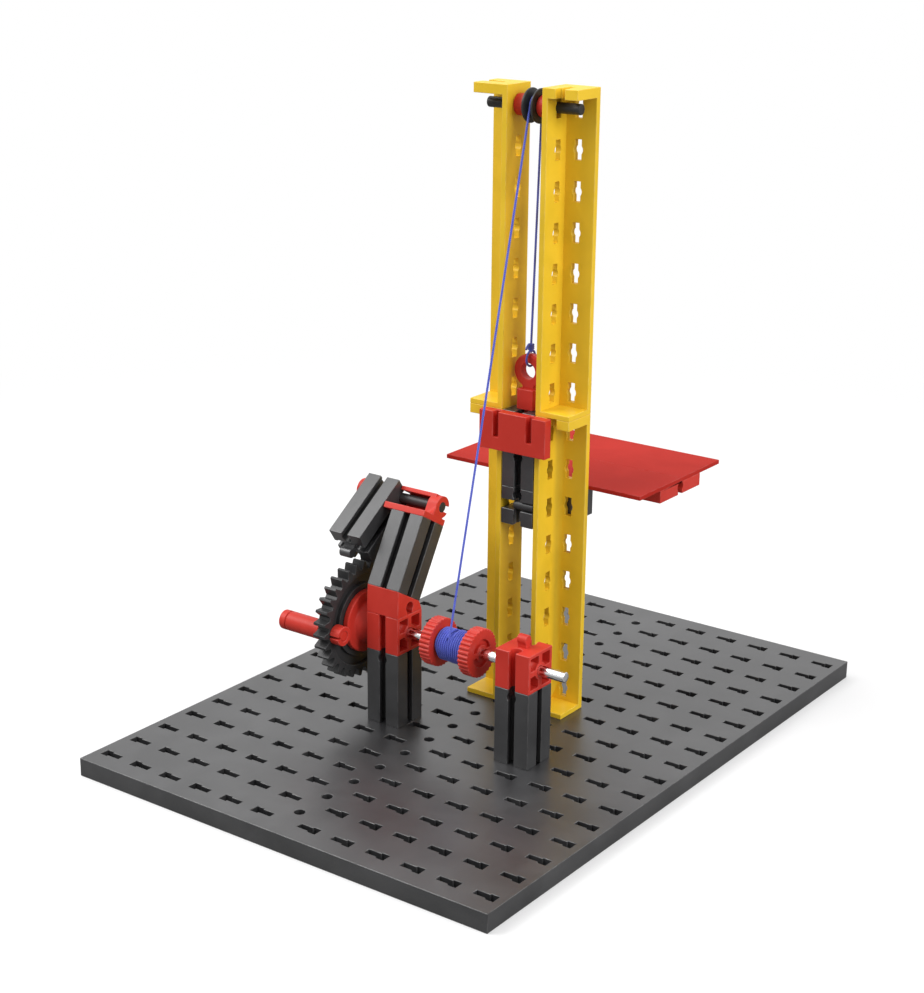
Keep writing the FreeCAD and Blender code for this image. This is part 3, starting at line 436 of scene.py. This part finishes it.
# Winch axle: a drawn and polished steel rod with chamfered ends, clamped by the wheel's collet and
# free to turn in the two bearing blocks. Faint draw lines run along it.
bright_steel, dull_steel = (0.80, 0.80, 0.81, 1.0), (0.70, 0.70, 0.72, 1.0)
steel = bpy.data.materials.new("steel_drawn")
steel["slot"] = "steel_axle"
board = Board(steel)
position = board.node("TexCoord", output="Object")
drawn = board.node("Mapping", {}, {"Vector": position, "Scale": (18.0, 5200.0, 5200.0)})
lines = board.node("TexNoise", {}, {"Vector": drawn, "Scale": 1.0, "Detail": 3.0})
smear = board.node("TexNoise", {}, {"Vector": position, "Scale": 160.0, "Detail": 4.0})
shader = board.node("BsdfPrincipled", {}, {
    "Base Color": board.blend(board.spread(smear, 0.35, 0.7), bright_steel, dull_steel),
    "Metallic": 1.0, "Roughness": lines * 0.10 + smear * 0.14 + 0.03,
    "Normal": board.node("Bump", {}, {"Strength": 0.15, "Distance": 0.01 * mm, "Height": lines})})
board.node("OutputMaterial", {}, {"Surface": shader})
dress(rod("winch_axle", axle_r, chamfer=0.45), "winch_axle", steel)


# Toothed wheel: a black moulding with thirty teeth and a recessed web, gripped on the axle by a
# slit collet that a red round nut with a conical hub pulls tight.
mould(black_plastic, 0.16, "drive_gear")
mould(black_plastic, 0.12, "hub_collet")
nut_outline = [(0, 12.4), (2.6, 12.4), (2.6, 8.3), (7.0, 5.6), (7.0, 4.51), (0, 4.51)]
nut = turned("hub_nut", nut_outline, radius=0.7, closed=True, columns=96)
dress(nut, "hub_nut", red_plastic)


# Crank: a red pin with a wide cap goes through the wheel near its rim, a smooth red sleeve turns
# on it as the grip, and a slotted red stub holds it from behind.
pin_outline = [(0, 1.0), (0, 3.85), (3.0, 3.85), (3.0, 2.0), (29.7, 2.0), (29.7, 0.6)]
dress(turned("crank_pin", pin_outline, radius=0.45, closed=False), "crank_pin", red_plastic)
dress(sleeve("crank_grip", 3.85, free_bore, chamfer=0.5), "crank_grip", red_plastic)
mould(red_plastic, 0.3, "crank_clip")


# Drum: a plain core between two red knurled discs, all clamped on the axle. Two curved pockets in
# each disc's outer face leave a bridge across its middle.
dress(sleeve("drum_core", 4.5, tight_bore, chamfer=0.2), "drum_core", black_plastic)
mould(red_plastic, 0.2, "drum_flange_left", "drum_flange_right")


# String: thin blue cord laid up from three strands. It is wound on the drum in two layers, runs up
# and over the pulley, and comes down to a knot above the eye of the carriage.
cord_r = 0.45 * mm
lay = 2.3 * mm

# Radii of the string's middle line: the drum's two layers, the run's own turns, the pulley
first_r, second_r, run_r, wheel_r = 5.0 * mm, 5.92 * mm, 6.1 * mm, 3.75 * mm

# Middles of the drum and the pulley, the knot's upper end and the middle of the eye's upper limb
drum = np.array([7.5, -30.0, 44.7]) * mm
pulley = np.array([7.5, 15.0, 239.7]) * mm
knot_top = np.array([7.5, 15.0, 152.3]) * mm
limb = np.array([7.5, 15.0, 146.7]) * mm


def between(start, end, count):
    """Points evenly from one place to another, both ends among them."""
    return start + (end - start) * np.linspace(0, 1, count)[:, None]


def uneven(count, seed, size):
    """A smooth wander about zero of a given size, from a few seeded sines."""
    source = np.random.default_rng(seed)
    t = np.linspace(0, 1, count)
    waves = [source.normal() * np.sin(2 * math.pi * (k * t + source.random())) / k
             for k in (5, 9, 14, 23)]
    return size * np.sum(waves, axis=0)


def about_drum(start, end, wander, radius, angle):
    """Points round the drum, at (x, middle y + radius cos angle, middle z + radius sin angle).

    x goes evenly from start to end, in millimetres, and wanders from there.
    """
    t = np.linspace(0, 1, len(angle))
    x = (start + (end - start) * t) * mm + wander
    return np.stack([x, drum[1] + radius * np.cos(angle), drum[2] + radius * np.sin(angle)], axis=1)


def laid_string(name, path):
    """Three strands laid round one another: a lobed section that turns as it follows a path.

    At distance s and angle a the point is path(s) + r(s, a) (N cos a + B sin a), where
    r = cord_r (0.80 + 0.20 |cos 1.5 (a - 2 pi s / lay)|) has three lobes with sharp creases, B is
    the model's X axis made square to the path, and N = B x tangent. The share of the lobe's height
    is kept as the attribute crease.
    """
    rows_a_lay, columns = 9, 18
    step = np.linalg.norm(np.diff(path, axis=0), axis=1)
    run = np.concatenate([[0.0], np.cumsum(step)])
    even = np.linspace(0, run[-1], int(run[-1] / (lay / rows_a_lay)) + 2)
    path = np.stack([np.interp(even, run, path[:, axis]) for axis in range(3)], axis=1)
    heading = np.gradient(path, axis=0)
    heading /= np.linalg.norm(heading, axis=1, keepdims=True)
    side = np.array([1.0, 0.0, 0.0]) - heading[:, :1] * heading
    side /= np.linalg.norm(side, axis=1, keepdims=True)
    normal = np.cross(side, heading)
    angle = np.linspace(0, 2 * math.pi, columns, endpoint=False)
    lobe = np.abs(np.cos(1.5 * (angle[None, :] - 2 * math.pi * even[:, None] / lay)))
    radius = (cord_r * (0.80 + 0.20 * lobe))[..., None]
    grid = path[:, None] + radius * (normal[:, None] * np.cos(angle)[None, :, None]
                                     + side[:, None] * np.sin(angle)[None, :, None])
    piece = skin(name, grid, run=even / lay)
    crease = piece.data.attributes.new("crease", "FLOAT", "POINT")
    crease.data.foreach_set("value", lobe.ravel().astype(np.float32))
    return piece


# The string's colours. The darkest one is painted shade for the creases between its strands.
deep_blue, light_blue = (0.075, 0.105, 0.58, 1.0), (0.105, 0.145, 0.66, 1.0)
fuzz_blue, crease_shade_blue = (0.24, 0.30, 0.80, 1.0), (0.018, 0.024, 0.22, 1.0)
string_fibre = bpy.data.materials.new("string_laid")
string_fibre["slot"] = "string"
board = Board(string_fibre)
strand = board.node("Mapping", {}, {
    "Vector": board.node("TexCoord", output="UV"),
    "Scale": (2.0, 46.0, 1.0), "Rotation": (0.0, 0.0, 0.35)})
hair = board.node("TexNoise", {}, {"Vector": strand, "Scale": 1.0, "Detail": 4.0})
position = board.node("TexCoord", output="Object")
fade = board.node("TexNoise", {}, {"Vector": position, "Scale": 120.0})
lobe = board.node("Attribute", {"attribute_name": "crease"}, output="Fac")
tone = board.blend(board.spread(fade, 0.3, 0.7), deep_blue, light_blue)
tone = board.blend(board.spread(hair, 0.45, 0.75) * 0.30, tone, fuzz_blue)
# Painted shade: where the lobe is low, in the creases between the strands, the tone darkens to a
# near-black blue.
tone = board.blend(0.75 - board.spread(lobe, 0.0, 0.7) * 0.75, tone, crease_shade_blue)
shader = board.node("BsdfPrincipled", {}, {
    "Base Color": tone, "Roughness": hair * 0.2 + 0.55, "Sheen Weight": 0.25,
    "Specular IOR Level": 0.35,
    "Normal": board.node("Bump", {}, {"Strength": 0.5, "Distance": 0.05 * mm, "Height": hair})})
board.node("OutputMaterial", {}, {"Surface": shader})

# Layer one covers the core from right to left. Layer two comes back as far as the middle: it
# climbs onto layer one in its first thirtieth, and wanders fully after its first eighth
right_end, left_end, back_end = 13.5, 1.5, 6.5
first_turns, first_points = 12.4, 2400
second_turns, second_points = 5.2, 1400
t = np.linspace(0, 1, first_points)
wander = uneven(first_points, seed=3, size=0.05 * mm)
layer_one = about_drum(right_end, left_end, wander, first_r, -2 * math.pi * first_turns * t)
t = np.linspace(0, 1, second_points)
climb = np.clip(t * 30, 0, 1)
wander = uneven(second_points, seed=8, size=0.06 * mm) * np.clip(t * 8, 0, 1)
layer_two = about_drum(left_end, back_end, wander,
                       first_r + (second_r - first_r) * climb * climb * (3 - 2 * climb),
                       -2 * math.pi * (first_turns + second_turns * t))
winding = laid_string("string_winding_laid", np.vstack([layer_one, layer_two[1:]]))
dress(winding, "string_winding", string_fibre)

# The run's own turns lie on layer one from the right side to the middle, where the string leaves
# the drum on its way to the pulley
run_start, run_end = 13.4, 7.5
run_turns, run_points = 6.15, 1500
rise = pulley - drum
span = math.hypot(rise[1], rise[2])
run_angle = math.atan2(rise[2], rise[1]) + math.pi / 2 - math.asin((run_r - wheel_r) / span)
t = np.linspace(0, 1, run_points)
wander = uneven(run_points, seed=5, size=0.05 * mm) * np.sin(math.pi * t)
outer = about_drum(run_start, run_end, wander, run_r,
                   run_angle + 2 * math.pi * run_turns * (1 - t))
arrive = pulley + np.array([0.0, math.cos(run_angle), math.sin(run_angle)]) * wheel_r
straight = between(outer[-1], arrive, count=200)[1:-1]
hoist_angle = math.acos(wheel_r / (pulley[2] - knot_top[2])) - math.pi / 2
bend = np.linspace(run_angle, hoist_angle, num=120)
over = pulley + wheel_r * np.stack([0 * bend, np.cos(bend), np.sin(bend)], axis=1)
run = laid_string("string_run_laid", np.vstack([outer, straight, over]))
dress(run, "string_run", string_fibre)

# The hoisting part runs from the pulley down to the knot; it is given the bodies and ends between
# which it would stretch with the carriage's travel, but here it is only baked in place
hoist = laid_string("string_hoist_laid", between(over[-1], knot_top, count=200))
dress(hoist, "string_hoist", string_fibre,
      stretch=("base", "carriage", tuple(over[-1]), tuple(knot_top)))

# The knot: the string goes round the eye's upper limb in a loop, takes three tight turns round
# itself above it, and leaves a short tail that droops to the front
inner_reach = np.array([0.0, 0.0, -3.4]) * mm
loop_r, loop_start, loop_sweep = 3.05 * mm, math.radians(68), math.radians(316)
loop_shift = 0.5 * mm
neck_r, neck_start, neck_turns = 0.85 * mm, math.radians(112), 3.25
neck_foot, neck_rise = 0.15 * mm, 2.2 * mm
tail_reach, tail_droop = np.array([0.6, -2.9, -0.3]) * mm, 1.2 * mm
inner = between(knot_top, knot_top + inner_reach, count=40)
t = np.linspace(0, 1, num=240)
angle = loop_start - loop_sweep * t
loop = limb + np.stack([loop_shift * (t - 0.5), loop_r * np.cos(angle), loop_r * np.sin(angle)],
                       axis=1)
t = np.linspace(0, 1, num=360)
angle = 2 * math.pi * neck_turns * t + neck_start
wrap = np.stack([limb[0] + neck_r * np.sin(angle), limb[1] + neck_r * np.cos(angle),
                 limb[2] + loop_r + neck_foot + neck_rise * t], axis=1)
t = np.linspace(0, 1, num=60)[1:]
tail = wrap[-1] + t[:, None] * tail_reach
tail[:, 2] -= tail_droop * t ** 2
join = between(inner[-1], loop[0], count=30)[1:-1]
knot = laid_string("string_knot_laid", np.vstack([inner, join, loop, wrap, tail]))
dress(knot, "string_knot", string_fibre)


# Tower: four angle girders in yellow plastic, two to a column, tenons in the slots of the plate and
# of the girder below. A row of keyed windows runs up both walls of each one.
yellow_plastic = moulded_plastic(
    "yellow_plastic_grained", "yellow_plastic", (0.840, 0.545, 0.022),
    roughness=0.42, grain=0.28 * mm, flow=0.06, bare=0.22, gloss=0.22)
mould(yellow_plastic, 0.25, "girder_lower_left", "girder_lower_right", "girder_upper_left",
      "girder_upper_right", least=9.0)


# Pulley: a black grooved wheel that turns on a black axle through the girders' top windows, with a
# red bushing on each side to keep it in the middle.
dress(rod("top_axle", axle_r, chamfer=0.3), "top_axle", black_plastic)
pulley_outline = [(0, 6.3), (0.8, 6.3), (1.75, 3.15), (3.05, 3.15),
                  (4.0, 6.3), (4.8, 6.3), (4.8, free_bore), (0, free_bore)]
wheel = turned("pulley", pulley_outline, radius=0.3, closed=True, columns=96)
dress(wheel, "pulley", black_plastic)
for name in ("bushing_left", "bushing_right"):
    dress(sleeve(name, 4.0, tight_bore, chamfer=0.6), name, red_plastic)


# Carriage: three dark blocks that slide between the columns, a pin across the lowest, a red plate
# in front that keeps them in, and a red eye on top for the string.
mould(dark_plastic, 0.25, "carriage_block_upper", "carriage_block_middle", "carriage_block_lower")
dress(rod("carriage_pin", 1.8, chamfer=0.3), "carriage_pin", black_plastic)
mould(red_plastic, 0.3, "front_plate")
mould(red_plastic, 0.35, "eye")


# Platform: a dark block behind the columns carries two thin red deck plates on its tenons, joined
# underneath by a red block at each end.
mould(dark_plastic, 0.28, "rear_block")
# The deck plates take a darker, low-gloss copy of the red plastic. Its darker red is painted shade
# that holds down their brightly lit tops.
red_sheet_shaded = moulded_plastic(
    "red_plastic_matt_shaded", "red_plastic", (0.440, 0.021, 0.013),
    roughness=0.50, grain=0.25 * mm, flow=0.05, bare=0.14, gloss=0.03)
mould(red_sheet_shaded, 0.2, "deck_front", "deck_rear")
mould(red_plastic, 0.25, "joining_block_left", "joining_block_right")
